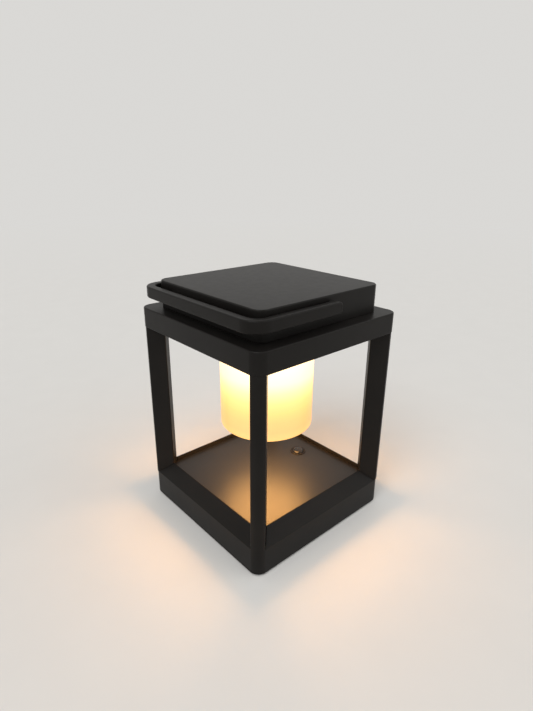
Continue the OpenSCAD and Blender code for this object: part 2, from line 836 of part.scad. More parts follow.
module supply_lead() {
  driver_mid = driver_z + board_t + plug_h / 2;
  color(RUBBER) tube(bent([
    [lead_board_x, lead_board_y + plug_l / 2, lead_low],
    [lead_board_x, lead_post - lead_run, lead_low],
    [lead_post, lead_post, lead_low - lead_drop],
    [lead_post, lead_post, lead_high],
    [lead_top, lead_top, lead_high + lead_climb],
    [lead_top, driver_w / 2 + lead_loop, driver_mid],
    [lead_driver_x, driver_w / 2 + lead_loop, driver_mid],
    [lead_driver_x, driver_w / 2, driver_mid]
  ], lead_bend), lead_d / 2);
}

module lead_plugs() {
  color(WHITE) {
    translate([lead_board_x - plug_w / 2, lead_board_y - plug_l / 2, board_z + board_t])
      cube([plug_w, plug_l, plug_h]);
    translate([lead_driver_x - plug_w / 2, driver_w / 2 - plug_l, driver_z + board_t])
      cube([plug_w, plug_l, plug_h]);
  }
}

// ---- Cap and handle -------------------------------------------------------

module cap_shell() {
  outer = rounded([
    [0, cap_z, 0], [cap_r, cap_z, crisp_r], [cap_r, cap_top, edge_r], [0, cap_top, 0]
  ]);
  color(BLACK) difference() {
    union() {
      difference() {
        union() {
          square_ring(cap_core, outer);
          translate([-cap_core, -cap_core, cap_z]) cube([2 * cap_core, 2 * cap_core, cap_h]);
        }
        square_plate(cap_core, cap_r - cap_wall, cap_z - over, cap_top - cap_wall);
      }
      cap_bosses() cylinder(d = boss_d, h = cap_h - cap_wall / 2);
    }
    cap_bosses() translate([0, 0, -over])
      cylinder(r = screw_d / 2 + press, h = screw_grip + over);
    on_pivots() cylinder(r = bush_d / 2 + press, h = 2 * cap_half, center = true);
  }
}

module cap_screws() {
  color(STEEL) cap_bosses() translate([0, 0, -flange_t]) mirror([0, 0, 1])
    screw(flange_t + screw_grip - end_play);
}

// Both pivots, with +Z pointing out of the side of the cap and the origin on the axis
module on_pivots() {
  for (s = [0, 1]) mirror([0, s, 0]) translate([pivot_x, 0, pivot_z]) rotate([-90, 0, 0]) children();
}

// Section of the handle bar: x across the bar, y up
function bar_section(x0, x1) = rounded([
  [x0, pivot_z - handle_h / 2, handle_edge_r], [x1, pivot_z - handle_h / 2, handle_edge_r],
  [x1, pivot_z + handle_h / 2, handle_edge_r], [x0, pivot_z + handle_h / 2, handle_edge_r]
]);

module handle() {
  corner_x = -handle_out + handle_corner_r;
  corner_y = arm_out - handle_corner_r;
  inner_bend = handle_corner_r - handle_t;
  arm_end = pivot_x + handle_h / 2 - handle_end_r;
  corner_h = handle_h / 2 - handle_end_r;
  end_outline = rounded([
    [0, arm_in, 0], [handle_end_r, arm_in, handle_edge_r],
    [handle_end_r, arm_out, handle_edge_r], [0, arm_out, 0]
  ]);
  color(BLACK) difference() {
    union() {
      // Cross bar
      translate([0, corner_y, 0]) rotate([90, 0, 0]) linear_extrude(2 * corner_y)
        polygon(bar_section(-handle_out, -handle_out + handle_t));
      for (s = [0, 1]) mirror([0, s, 0]) {
        // Bend between the cross bar and an arm
        translate([corner_x, corner_y, 0]) rotate(90) rotate_extrude(angle = 90)
          polygon(bar_section(inner_bend, handle_corner_r));
        // Arm
        translate([corner_x, 0, 0]) rotate([90, 0, 90]) linear_extrude(arm_end - corner_x)
          polygon(bar_section(arm_in, arm_out));
        // End of the arm, with two round corners
        translate([arm_end, 0, pivot_z]) {
          for (s = [-1, 1]) translate([0, 0, s * corner_h]) rotate([-90, 0, 0])
            rotate_extrude() polygon(end_outline);
          translate([0, 0, -corner_h]) linear_extrude(2 * corner_h) polygon(end_outline);
        }
      }
    }
    on_pivots() translate([0, 0, arm_in - over])
      cylinder(r = pin_d / 2 + press, h = pin_bite + over);
  }
}

module pivot_pins() {
  head_at = bush_in - fit_gap - pin_head_h;
  color(STEEL) on_pivots() translate([0, 0, head_at]) {
    cylinder(d = pin_head_d, h = pin_head_h);
    cylinder(d = pin_d, h = arm_in + pin_bite - fit_gap - head_at);
  }
}

module pivot_bushes() {
  color(BRASS) on_pivots() difference() {
    union() {
      translate([0, 0, bush_in]) cylinder(d = bush_flange_d, h = bush_flange_t);
      translate([0, 0, bush_in]) cylinder(d = bush_d, h = cap_half - bush_in);
    }
    translate([0, 0, bush_in - over])
      cylinder(r = pin_d / 2 + slip, h = cap_half - bush_in + 2 * over);
  }
}

module friction_washers() {
  color(RUBBER) on_pivots() translate([0, 0, cap_half + fit_gap]) difference() {
    cylinder(d = washer_d, h = washer_t);
    translate([0, 0, -over]) cylinder(r = pin_d / 2 + slip, h = washer_t + 2 * over);
  }
}

base_rim();
deck_plate();
bottom_cover();
cover_screws();
rubber_feet();
battery_cells();
battery_cradle();
control_board();
board_screws();
charge_socket();
tact_switch();
switch_plunger();
power_button();
button_ring();
post_front();
post_right();
post_back();
post_left();
lower_post_screws();
upper_post_screws();
top_frame();
ceiling_plate();
ceiling_screws();
diffuser();
diffuser_gasket();
clamp_ring();
clamp_screws();
led_board();
led_chips();
heat_spreader();
driver_board();
driver_screws();
supply_lead();
lead_plugs();
cap_shell();
cap_screws();
handle();
pivot_pins();
pivot_bushes();
friction_washers();
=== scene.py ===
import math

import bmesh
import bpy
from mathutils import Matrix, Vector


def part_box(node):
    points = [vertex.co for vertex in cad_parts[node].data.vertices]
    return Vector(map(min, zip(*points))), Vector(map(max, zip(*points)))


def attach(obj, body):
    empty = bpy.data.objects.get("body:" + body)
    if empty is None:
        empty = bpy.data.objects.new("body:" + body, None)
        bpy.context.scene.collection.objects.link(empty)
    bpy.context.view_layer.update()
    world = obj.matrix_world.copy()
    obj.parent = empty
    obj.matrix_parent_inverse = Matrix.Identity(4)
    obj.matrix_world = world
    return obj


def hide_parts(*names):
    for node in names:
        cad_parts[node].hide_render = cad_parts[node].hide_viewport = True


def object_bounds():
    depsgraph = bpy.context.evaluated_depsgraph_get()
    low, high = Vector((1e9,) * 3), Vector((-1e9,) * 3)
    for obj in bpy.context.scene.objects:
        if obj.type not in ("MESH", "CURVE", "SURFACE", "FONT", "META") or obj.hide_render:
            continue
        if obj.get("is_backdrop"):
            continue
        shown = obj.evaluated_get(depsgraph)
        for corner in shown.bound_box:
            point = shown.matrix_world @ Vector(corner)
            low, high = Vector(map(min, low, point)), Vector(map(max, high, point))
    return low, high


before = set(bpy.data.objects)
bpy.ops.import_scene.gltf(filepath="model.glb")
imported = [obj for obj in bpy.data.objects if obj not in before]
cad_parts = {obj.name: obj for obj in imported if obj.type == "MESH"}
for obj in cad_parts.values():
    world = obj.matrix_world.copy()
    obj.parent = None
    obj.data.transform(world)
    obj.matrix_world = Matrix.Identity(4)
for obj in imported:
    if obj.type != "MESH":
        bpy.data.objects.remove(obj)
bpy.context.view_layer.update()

# %% [markdown]
# # A lantern table lamp
#
# A square base and a square top frame are joined by four corner posts. An opal diffuser hangs
# from the top frame, and a carrying handle folds round the cap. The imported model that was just
# loaded holds every inner piece at its real place. This lesson makes the pieces that can be
# seen again, with the soft edges that catch the light, and gives every piece its finish.
#
# +Z is up, +X runs along the front right face, and +Y along the front left face. All lengths
# are in metres, so MM turns a drawing size into the script's own unit.

MM = 0.001
scene = bpy.context.scene

frame_low, frame_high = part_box("top_frame")
rim_low, rim_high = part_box("base_rim")
cap_low, cap_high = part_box("cap_shell")
handle_low, handle_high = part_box("handle")

half_w = frame_high.x
rim_half = rim_high.x
cap_half = cap_high.x
print(f"lamp {2000 * half_w:.1f} mm square and {1000 * cap_high.z:.1f} mm high")

# %% [markdown]
# ## The camera
#
# A photograph of a box has three families of parallel edges, and the places where they meet
# give the direction and the focal length of the camera. The values below were fitted to those
# edges and to the size of the lamp. The roll is turned first, in the camera's own axes, then
# the pitch, then the yaw, as on a tripod head.

# %% Camera
CAMERA_AT = (-258.2 * MM, -288.2 * MM, 288.2 * MM)
CAMERA_YAW = math.radians(48.19)  # from +X towards +Y
CAMERA_PITCH = math.radians(20.91)  # below the horizon
CAMERA_ROLL = math.radians(0.49)
CAMERA_LENS = 24.75  # millimetres, for a sensor whose long side is 36

camera_data = bpy.data.cameras.new("camera")
camera_data.lens = CAMERA_LENS
camera_data.clip_start = 5 * MM
camera = bpy.data.objects.new("camera", camera_data)
camera.matrix_world = (
    Matrix.Translation(CAMERA_AT)
    @ Matrix.Rotation(CAMERA_YAW - math.pi / 2, 4, "Z")
    @ Matrix.Rotation(math.pi / 2 - CAMERA_PITCH, 4, "X")
    @ Matrix.Rotation(CAMERA_ROLL, 4, "Z")
)
scene.collection.objects.link(camera)
scene.camera = camera
scene.view_settings.view_transform = "Standard"
print("camera", [round(c, 3) for c in CAMERA_AT], "lens", CAMERA_LENS)

# %% [markdown]
# ## Short calls for nodes
#
# Each finish below is a small tree of nodes, and some of the shapes are made by such trees
# too. A tree is easier to read when adding a node and wiring its inputs is one call. `add`
# makes a node, fills its inputs and gives its outputs. An input is given by name or number,
# and may be a number, a colour or another node's output.

# %% Short calls for nodes
class Nodes:
    """The nodes and links of one tree."""

    def __init__(self, tree):
        self.nodes = tree.nodes
        self.links = tree.links

    def put(self, node, name, value):
        """Links an output to the named input, or sets it to a constant."""
        socket = node.inputs[name]
        if isinstance(value, bpy.types.NodeSocket):
            self.links.new(value, socket)
        else:
            socket.default_value = value

    def add(self, kind, inputs=None, **settings):
        """Adds a node with its settings, fills its inputs and gives its outputs."""
        node = self.nodes.new(kind)
        for key, value in settings.items():
            setattr(node, key, value)
        for name, value in (inputs or {}).items():
            self.put(node, name, value)
        return node.outputs


print("short calls for nodes are ready")

# %% [markdown]
# ## Material helper
#
# A finish needs the same few steps again and again: noise of a certain size, a number that
# wanders about a middle, a colour between two others, and relief. `Finish` has a call for
# each, so that a finish reads as a list of what the real surface has.

# %% A helper for materials
MIX_FACTOR, MIX_A, MIX_B, MIX_RESULT = 0, 6, 7, 2  # colour sockets of a Mix node


class Finish(Nodes):
    """A material under construction."""

    def __init__(self, name):
        self.material = bpy.data.materials.new(name)
        self.material.use_nodes = True
        super().__init__(self.material.node_tree)
        self.shader = self.nodes["Principled BSDF"]
        self.place = self.add("ShaderNodeTexCoord")["Object"]

    def set(self, **inputs):
        """Fills inputs of the shader: base_color stands for Base Color, and so on."""
        for name, value in inputs.items():
            words = name.replace("ior", "IOR").split("_")
            title = " ".join(w if w == "IOR" else w.capitalize() for w in words)
            self.put(self.shader, title, value)

    def noise(self, size, detail, squeeze=(1, 1, 1)):
        """Noise from 0 to 1 whose blotches are about size across."""
        place = self.place
        if squeeze != (1, 1, 1):
            place = self.add("ShaderNodeMapping", {"Vector": place, "Scale": squeeze})[0]
        inputs = {"Vector": place, "Scale": 1 / size, "Detail": detail}
        return self.add("ShaderNodeTexNoise", inputs)["Fac"]

    def spread(self, value, low, high, start=0.3, end=0.7):
        """Maps a value from start..end to low..high."""
        inputs = {"Value": value, "From Min": start, "From Max": end, "To Min": low, "To Max": high}
        return self.add("ShaderNodeMapRange", inputs)["Result"]

    def about(self, value, by, noise):
        """A number that wanders from value - by to value + by."""
        return self.spread(noise, value - by, value + by)

    def blend(self, factor, a, b):
        """Mixes colour a with colour b."""
        inputs = {MIX_FACTOR: factor, MIX_A: a, MIX_B: b}
        return self.add("ShaderNodeMix", inputs, data_type="RGBA")[MIX_RESULT]

    def mottle(self, colour, size, dark, light=1.0):
        """A colour that wanders from a darker to a lighter shade of itself."""
        tone = self.spread(self.noise(size, detail=3), 0.0, 1.0)
        return self.blend(tone, rgba(colour, dark), rgba(colour, light))

    def bump(self, height, depth, strength, under=None):
        """Tilts the surface by a height map whose relief is depth metres."""
        inputs = {"Height": height, "Distance": depth, "Strength": strength}
        if under:
            inputs["Normal"] = under
        return self.add("ShaderNodeBump", inputs)["Normal"]


def rgba(colour, share=1.0):
    """A colour, made darker or lighter by a share, with an alpha of 1."""
    return (*[c * share for c in colour], 1.0)


print("helper for finishes is ready")

# %% [markdown]
# ## Powder coat
#
# The lamp is aluminium under a satin black powder coat. The powder melts into a film that is
# never quite flat: it has a grain of about half a millimetre, and a slower waviness that is
# called orange peel. Modelled relief that fine would take millions of faces, so both are
# height maps. They read Object coordinates, so they run on from piece to piece at one scale.
# Roughness wanders a little as well, which is what makes a wide highlight look like a real
# coat. The deck lies right under the light and mirrors it as a blurred pool, so its film is
# finer.

# %% Powder coat
PEEL = 3.2 * MM  # from wave to wave of the orange peel


def powder_coat(name, colour, roughness, specular, grain=0.5 * MM):
    f = Finish(name)
    peel = f.bump(f.noise(PEEL, detail=1), depth=0.02 * MM, strength=0.2)
    film = f.bump(f.noise(grain, detail=2), depth=0.012 * MM, strength=0.3, under=peel)
    f.set(base_color=f.mottle(colour, 30 * MM, dark=0.88, light=1.12), normal=film)
    f.set(roughness=f.about(roughness, by=0.015, noise=f.noise(6 * MM, detail=4)))
    f.set(specular_IOR_level=specular)
    return f.material


black_coat = powder_coat("black_coat", (0.0090, 0.0080, 0.0072), roughness=0.38, specular=0.13)
smooth_coat = powder_coat(
    "smooth_coat", (0.0085, 0.0076, 0.0070), roughness=0.40, specular=0.40, grain=0.3 * MM
)
print("powder coats:", black_coat.name, smooth_coat.name)

# %% [markdown]
# ## The other black parts
#
# The button and the bottom cover are moulded, so their skin is smoother than the coat and has
# no orange peel, only the faint spark-eroded texture of the mould. Rubber is the same idea
# with a duller and more even surface, and the hidden white plastic with another colour. One
# function makes all three, and its arguments say how rough the skin is and how coarse its
# texture.

# %% Moulded plastic and rubber
def moulded(name, colour, roughness, grain, depth, specular=0.5):
    f = Finish(name)
    f.set(base_color=f.mottle(colour, 14 * MM, dark=0.9, light=1.1))
    f.set(roughness=f.about(roughness, by=0.03, noise=f.noise(4 * MM, detail=4)))
    f.set(normal=f.bump(f.noise(grain, detail=3), depth, strength=0.4))
    f.set(specular_IOR_level=specular)
    return f.material


black, dull_black, white = (0.010, 0.0092, 0.0086), (0.02, 0.019, 0.018), (0.78, 0.78, 0.75)
black_plastic = moulded(
    "black_plastic", black, roughness=0.13, grain=0.3 * MM, depth=0.002 * MM, specular=0.35
)
black_rubber = moulded(
    "black_rubber", dull_black, roughness=0.72, grain=0.6 * MM, depth=0.03 * MM, specular=0.3
)
white_plastic = moulded("white_plastic", white, roughness=0.45, grain=0.4 * MM, depth=0.01 * MM)
print("moulded:", black_plastic.name, black_rubber.name, white_plastic.name)

# %% [markdown]
# ## The lit diffuser
#
# The diffuser is an opal cup with the light source above it, so it is almost white at the top
# and turns to a warm peach at the bottom. A translucent shell with a lamp in it would be
# nearer to the real thing, but its light would stay noisy. So the wall gives off the light
# itself, with a colour ramp that reads the height of each point. The ramp's colours are those
# of warm LED light after more and more opal. A coat stands for the glossy outer skin. Its
# tint takes more light from a ray that leaves at a slant, because such a ray has a longer way
# through the skin, and that makes the sides of the cup deeper in colour than its middle, from
# wherever the cup is seen.
#
# The light source looks straight down, so most of its light leaves through the bottom of the
# cup. UNDER_GLOW is that light. It draws the bright pool on the deck and warms the floor round
# the base, and it fades out within half a millimetre of height, which keeps it on the flat
# underside.

# %% Opal that is lit from inside
GLOW = [  # height from 0, the bottom, to 1, the top, and the light given off there
    (0.00, (1.50, 1.15, 0.50)),
    (0.03, (1.10, 0.70, 0.31)),
    (0.10, (1.05, 0.62, 0.29)),
    (0.20, (1.10, 0.68, 0.30)),
    (0.30, (1.20, 0.82, 0.33)),
    (0.40, (1.35, 1.02, 0.45)),
    (0.50, (1.60, 1.30, 0.80)),
    (0.60, (1.90, 1.70, 1.35)),
    (1.00, (2.60, 2.40, 2.00)),
]
UNDER_GLOW = (24.0, 14.6, 6.4)
UNDER_FADE = (0.1 * MM, 0.5 * MM)  # above the bottom, where the ramp takes over


def lit_opal(name, bottom, top):
    f = Finish(name)
    height = f.add("ShaderNodeSeparateXYZ", {"Vector": f.place})["Z"]
    ramp = f.nodes.new("ShaderNodeValToRGB")
    f.put(ramp, "Fac", f.spread(height, 0.0, 1.0, bottom, top))
    stops = ramp.color_ramp.elements
    for at, colour in GLOW[1:-1]:
        stops.new(at)
    for stop, (at, colour) in zip(stops, GLOW):
        stop.position = at
        stop.color = rgba(colour)
    under = f.spread(height, 1.0, 0.0, *[bottom + rise for rise in UNDER_FADE])
    glow = f.blend(under, ramp.outputs["Color"], rgba(UNDER_GLOW))
    f.set(base_color=rgba((0.42, 0.36, 0.22)), emission_color=glow, emission_strength=1.0)
    f.set(coat_weight=0.8, coat_roughness=0.28, coat_ior=1.25)
    f.set(coat_tint=rgba((1.0, 0.80, 0.55)))
    f.set(roughness=f.about(0.46, by=0.04, noise=f.noise(5 * MM, detail=3)))
    f.set(normal=f.bump(f.noise(7 * MM, detail=1), depth=0.05 * MM, strength=0.3))
    return f.material


diffuser_low, diffuser_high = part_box("diffuser")
opal = lit_opal("opal", diffuser_low.z, frame_low.z)
print(f"opal glows from {1000 * diffuser_low.z:.0f} to {1000 * frame_low.z:.0f} mm up")

# %% [markdown]
# ## Bare metals
#
# Screws, pins and bushes are turned, so fine rings run round them. The heat spreader is
# rolled, so its lines run one way. An anisotropic shader would hint at such lines, but it
# needs a tangent on every mesh. Noise that is squeezed in one direction needs none: the eye
# reads lines where the blotches are many times longer than they are wide. They change the
# roughness and the height by very little, as on real metal.

# %% Metals
LINE_L = 3 * MM  # the squeeze divides it, and gives the width of a line


def metal(name, colour, roughness, squeeze=(1, 1, 12)):
    f = Finish(name)
    grain = f.noise(LINE_L, detail=2, squeeze=squeeze)
    f.set(base_color=f.mottle(colour, 5 * MM, dark=0.92), metallic=1.0)
    f.set(roughness=f.about(roughness, by=0.08, noise=grain))
    f.set(normal=f.bump(grain, depth=0.01 * MM, strength=0.3))
    return f.material


steel = metal("steel", (0.58, 0.57, 0.56), roughness=0.30)
brass = metal("brass", (0.78, 0.60, 0.27), roughness=0.32)
rolled = (1, 14, 1)
bare_aluminium = metal("bare_aluminium", (0.80, 0.81, 0.82), roughness=0.38, squeeze=rolled)
print("metals:", steel.name, brass.name, bare_aluminium.name)

# %% [markdown]
# ## Circuit boards, light chips and battery cells
#
# These sit inside closed housings, but they are real pieces and someone may take the model
# apart. A board's copper tracks show through its mask as a pattern of straight runs. A brick
# texture with long, low bricks has such runs in its mortar, so the mortar is the copper, and
# it stands up a little. A light chip is yellow phosphor, and a cell wears a printed sleeve
# that shines a little, so both are moulded skins of another colour.

# %% Boards, chips and cells
RUN_L = 9  # length of a run of copper, and its width, in pitches
RUN_W = 0.18


def board(name, mask, track, pitch):
    f = Finish(name)
    bricks = {"Brick Width": RUN_L * pitch, "Row Height": pitch, "Mortar Size": RUN_W * pitch}
    line = f.add("ShaderNodeTexBrick", {"Vector": f.place, "Scale": 1.0, **bricks})["Fac"]
    tone = f.spread(f.noise(8 * MM, detail=2), 0.0, 1.0)
    shown = f.blend(tone, rgba(mask), rgba(mask, 1.2))
    f.set(base_color=f.blend(line, shown, rgba(track)))
    f.set(roughness=f.spread(tone, 0.28, 0.4, start=0, end=1))
    f.set(normal=f.bump(line, depth=0.02 * MM, strength=0.6))
    return f.material


green_board = board("green_board", (0.012, 0.11, 0.045), (0.05, 0.24, 0.10), pitch=1.6 * MM)
white_board = board("white_board", (0.76, 0.77, 0.76), (0.62, 0.63, 0.62), pitch=2.4 * MM)
yellow, blue = (0.92, 0.70, 0.20), (0.03, 0.10, 0.32)
led_phosphor = moulded("led_phosphor", yellow, roughness=0.40, grain=0.2 * MM, depth=0.01 * MM)
cell_wrap = moulded("cell_wrap", blue, roughness=0.28, grain=0.8 * MM, depth=0.01 * MM)
print("inner finishes:", green_board.name, white_board.name, led_phosphor.name, cell_wrap.name)

# %% [markdown]
# ## Outlines
#
# Nearly every piece here is an outline that is carried along a way. A Bevel modifier could
# ease the edges afterwards, but a cast or extruded part has another radius at each edge. So
# an outline is written as its few corners, each with its radius, and `rounded` turns every
# corner into an arc. It is the drawing rule for a fillet: the centre lies on the bisector of
# the corner, and the arc starts and ends where the sides leave it.

# %% Rounded outlines
def rounded(corners, steps=6, closed=True):
    """Points, in metres, of an outline through (x, y, radius) corners in millimetres."""
    spots = [Vector(c[:2]) for c in corners]
    outline = []
    for i, here in enumerate(spots):
        radius = corners[i][2]
        if radius == 0 or (not closed and i in (0, len(corners) - 1)):
            outline.append(here * MM)
            continue
        a = (spots[i - 1] - here).normalized()
        b = (spots[(i + 1) % len(spots)] - here).normalized()
        half = a.angle(b) / 2
        centre = here + (a + b).normalized() * radius / math.sin(half)
        start = here + a * radius / math.tan(half) - centre
        turn = start.angle_signed(here + b * radius / math.tan(half) - centre)
        for k in range(steps + 1):
            outline.append((centre + Matrix.Rotation(-turn * k / steps, 2) @ start) * MM)
    return outline


square = rounded([(0, 0, 1), (10, 0, 1), (10, 10, 1), (0, 10, 1)])
print("a rounded square has", len(square), "points, the first at", tuple(square[0]))

# %% [markdown]
# ## Blocks
#
# A bar, a flange or a cutter is an outline that is raised straight up, as an extrusion is.
# Its corners are round already, so no modifier has to guess which edges to ease. Bmesh makes
# the floor as one face, lifts a copy of it, and turns all faces outwards at the end.

# %% Blocks
def prism(name, outline, low, high, finish=None):
    """A closed block with the given outline, from one height to another."""
    shape = bmesh.new()
    floor = shape.faces.new([shape.verts.new((p.x, p.y, low)) for p in outline])
    raised = bmesh.ops.extrude_face_region(shape, geom=[floor])["geom"]
    top = [v for v in raised if isinstance(v, bmesh.types.BMVert)]
    bmesh.ops.translate(shape, verts=top, vec=(0, 0, high - low))
    bmesh.ops.recalc_face_normals(shape, faces=shape.faces)
    mesh = bpy.data.meshes.new(name)
    shape.to_mesh(mesh)
    shape.free()
    if finish:
        mesh.materials.append(finish)
    piece = bpy.data.objects.new(name, mesh)
    scene.collection.objects.link(piece)
    return piece


print("blocks can be raised")

# %% [markdown]
# ## Shading and hand-over
#
# The shading is smooth over the small arcs and sharp at real corners. Weighted normals then
# keep the large faces flat, so that a highlight sits on the rounded edge only. A modifier's
# result is taken as a plain mesh, because a piece leaves this script with no modifier left.
# Each piece then rides on one body of the lamp, and stands for the nodes that it shows better.

# %% Shading and hand-over
SHARP = math.radians(40)


def plain(host):
    """Turns an object's evaluated shape into its own plain mesh, with no modifier left."""
    graph = bpy.context.evaluated_depsgraph_get()
    made = bpy.data.meshes.new_from_object(host.evaluated_get(graph), depsgraph=graph)
    host.modifiers.clear()
    host.data = made
    return host


def shade(piece):
    """Smooth shading over arcs, sharp corners, and large faces that stay flat."""
    for face in piece.data.polygons:
        face.use_smooth = True
    piece.data.set_sharp_from_angle(angle=SHARP)
    weigh = piece.modifiers.new("weigh", "WEIGHTED_NORMAL")
    weigh.keep_sharp = True
    return plain(piece)


def stand_for(piece, body, slot, *nodes):
    """Rides the piece on its body, and says which nodes it replaces."""
    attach(piece, body)
    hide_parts(*nodes)
    print(f"{piece.name}: {len(piece.data.polygons)} faces, stands for {', '.join(nodes)}")


print("edges sharper than", round(math.degrees(SHARP)), "degrees stay sharp")

# %% [markdown]
# ## Corner posts
#
# Each post is an extruded bar with a flat inner face and flat sides, and an outer face that
# is part of the round corner of the frame above it. A cube with a bevel would be quicker, but
# it has no such arc. So the section is drawn, with two long sides, a short flat and one arc,
# and raised as a block. All four corners are eased, because an extrusion has no knife edge.

# %% Corner posts
CORNER_R = 9.4  # millimetres, of the top frame
POST_W = 11.0
POST_DEPTH = 17.2
POST_EDGE_R = 0.8
POST_INSET = 0.3
POST_TURNS = {"front": 225, "right": 315, "back": 45, "left": 135}  # degrees from +X

post_low, post_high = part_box("post_right")
core = half_w - CORNER_R * MM
core_mm = core / MM
post_r = CORNER_R - POST_INSET
corner_at = core_mm * math.sqrt(2)


def post_outline(grow=0.0, arc_steps=8):
    """Section of a post, with +X pointing out of the lamp, grown by some millimetres."""
    half, r = POST_W / 2 + grow, post_r + grow
    inner = corner_at + post_r - POST_DEPTH - grow
    spread = math.asin(half / r)
    angles = [spread * (2 * k / arc_steps - 1) for k in range(arc_steps + 1)]
    face = [(corner_at + r * math.cos(a), r * math.sin(a), 0) for a in angles]
    first, last = (*face[0][:2], POST_EDGE_R), (*face[-1][:2], POST_EDGE_R)
    ends = [(inner, half, POST_EDGE_R), (inner, -half, POST_EDGE_R)]
    return rounded([first, *face[1:-1], last, *ends], steps=4)


for name, turn in POST_TURNS.items():
    post = prism("post_bar_" + name, post_outline(), post_low.z, post_high.z, black_coat)
    post.data.transform(Matrix.Rotation(math.radians(turn), 4, "Z"))
    stand_for(shade(post), "lantern", "black_coat", "post_" + name)

# %% [markdown]
# ## Trees of nodes
#
# The rim of the base, the top frame and the cap all are one outline that runs round a square
# with round corners. A tree of Geometry Nodes makes all three, and its named inputs are the
# sizes that differ. `Tree` is for shapes what `Finish` is for materials, and `run` puts a
# mesh through a tree.

# %% A helper for Geometry Nodes
class Tree(Nodes):
    """A Geometry Nodes tree under construction, with named inputs for its sizes."""

    def __init__(self, name, **sizes):
        self.group = bpy.data.node_groups.new(name, "GeometryNodeTree")
        super().__init__(self.group)
        face = self.group.interface
        face.new_socket("Geometry", in_out="INPUT", socket_type="NodeSocketGeometry")
        for title, kind in sizes.items():
            face.new_socket(title, in_out="INPUT", socket_type="NodeSocket" + kind)
        face.new_socket("finish", in_out="INPUT", socket_type="NodeSocketMaterial")
        face.new_socket("Geometry", in_out="OUTPUT", socket_type="NodeSocketGeometry")
        self.sizes = self.add("NodeGroupInput")

    def math(self, operation, a, b=0.0):
        """A number worked out from one or two others."""
        return self.add("ShaderNodeMath", {0: a, 1: b}, operation=operation)[0]

    def vector(self, x=0.0, y=0.0, z=0.0):
        """A vector from three numbers."""
        return self.add("ShaderNodeCombineXYZ", {0: x, 1: y, 2: z})[0]

    def close(self, geometry):
        """Ends the tree: instances become real, and the finish goes on."""
        real = self.add("GeometryNodeRealizeInstances", {"Geometry": geometry})[0]
        inputs = {"Geometry": real, "Material": self.sizes["finish"]}
        done = self.add("GeometryNodeSetMaterial", inputs)[0]
        self.add("NodeGroupOutput", {0: done})


def run(tree, name, mesh, **sizes):
    """Runs a tree on a mesh and gives the result as a plain object."""
    host = bpy.data.objects.new(name, mesh)
    scene.collection.objects.link(host)
    modifier = host.modifiers.new("shape", "NODES")
    modifier.node_group = tree.group
    for socket in tree.group.interface.items_tree:
        if socket.in_out == "INPUT" and socket.name in sizes:
            modifier[socket.identifier] = sizes[socket.name]
    return plain(host)


print("helper for trees is ready")

# %% [markdown]
# ## A lathe for outlines
#
# The tree first turns the outline on a lathe: Curve to Mesh carries it round a circle. The
# circle's points sit half a step off the axes, and so every point will belong to one quarter
# of the lamp. The outline is drawn flat, so it is stood up before it is carried round.

# %% A lathe for outlines
CORNER_STEPS = 14
SWING = 20 * MM  # radius of the first lathe, wider than any outline reaches inwards

sweep = Tree("square_sweep", half_side="Float", swing="Float", corner_steps="Int")
steps = sweep.math("MULTIPLY", sweep.sizes["corner_steps"], 4)
half_step = sweep.math("DIVIDE", math.pi, steps)
circle = sweep.add(
    "GeometryNodeCurvePrimitiveCircle", {"Resolution": steps, "Radius": sweep.sizes["swing"]}
)[0]
way = sweep.add(
    "GeometryNodeTransform", {"Geometry": circle, "Rotation": sweep.vector(z=half_step)}
)[0]
drawn = sweep.add(
    "GeometryNodeTransform",
    {"Geometry": sweep.sizes["Geometry"], "Rotation": (math.pi / 2, 0, 0)},
)[0]
section = sweep.add("GeometryNodeMeshToCurve", {0: drawn})[0]
skin = sweep.add("GeometryNodeCurveToMesh", {"Curve": way, "Profile Curve": section})[0]
print("the lathe has", len(sweep.nodes), "nodes")

# %% [markdown]
# ## From a round to a square
#
# Now each quarter of the skin is pushed out to its own corner, so that straight sides open
# between them. An outline is drawn from the corner's centre outwards. What lies further in
# than that centre has no arc to follow, so all its points in a quarter meet in one sharp
# corner. With no push the same tree is a plain lathe, which makes the diffuser, the button
# and the feet.

# %% From a round to a square
spot = sweep.add("GeometryNodeInputPosition")[0]
height = sweep.add("ShaderNodeSeparateXYZ", {0: spot})[2]
flat = sweep.add("ShaderNodeVectorMath", {0: spot, 1: (1, 1, 0)}, operation="MULTIPLY")[0]
quarter = sweep.add("ShaderNodeVectorMath", {0: flat}, operation="SIGN")[0]
ahead = sweep.add("ShaderNodeVectorMath", {0: flat}, operation="NORMALIZE")[0]
length = sweep.add("ShaderNodeVectorMath", {0: flat}, operation="LENGTH")["Value"]
reach = sweep.math("SUBTRACT", length, sweep.sizes["swing"])
inside = sweep.math("MINIMUM", reach, 0.0)
outside = sweep.math("DIVIDE", sweep.math("MAXIMUM", reach, 0.0), sweep.math("COSINE", half_step))
corner = sweep.add(
    "ShaderNodeVectorMath",
    {0: quarter, "Scale": sweep.math("ADD", sweep.sizes["half_side"], inside)},
    operation="SCALE",
)[0]
arc = sweep.add("ShaderNodeVectorMath", {0: ahead, "Scale": outside}, operation="SCALE")[0]
place = sweep.add("ShaderNodeVectorMath", {0: corner, 1: arc}, operation="ADD")[0]
lifted = sweep.add("ShaderNodeVectorMath", {0: place, 1: sweep.vector(z=height)}, operation="ADD")[0]
pushed = sweep.add("GeometryNodeSetPosition", {"Geometry": skin, "Position": lifted})[0]
sweep.close(pushed)
print("the sweep tree has", len(sweep.nodes), "nodes")

# %% [markdown]
# ## From a swept skin to a closed piece
#
# Where an outline reaches the middle of a corner, or the axis of a lathe, many points fall on
# one spot, and they are welded. An outline that is left open leaves a square hole over the
# middle of the lamp, which one flat face closes.

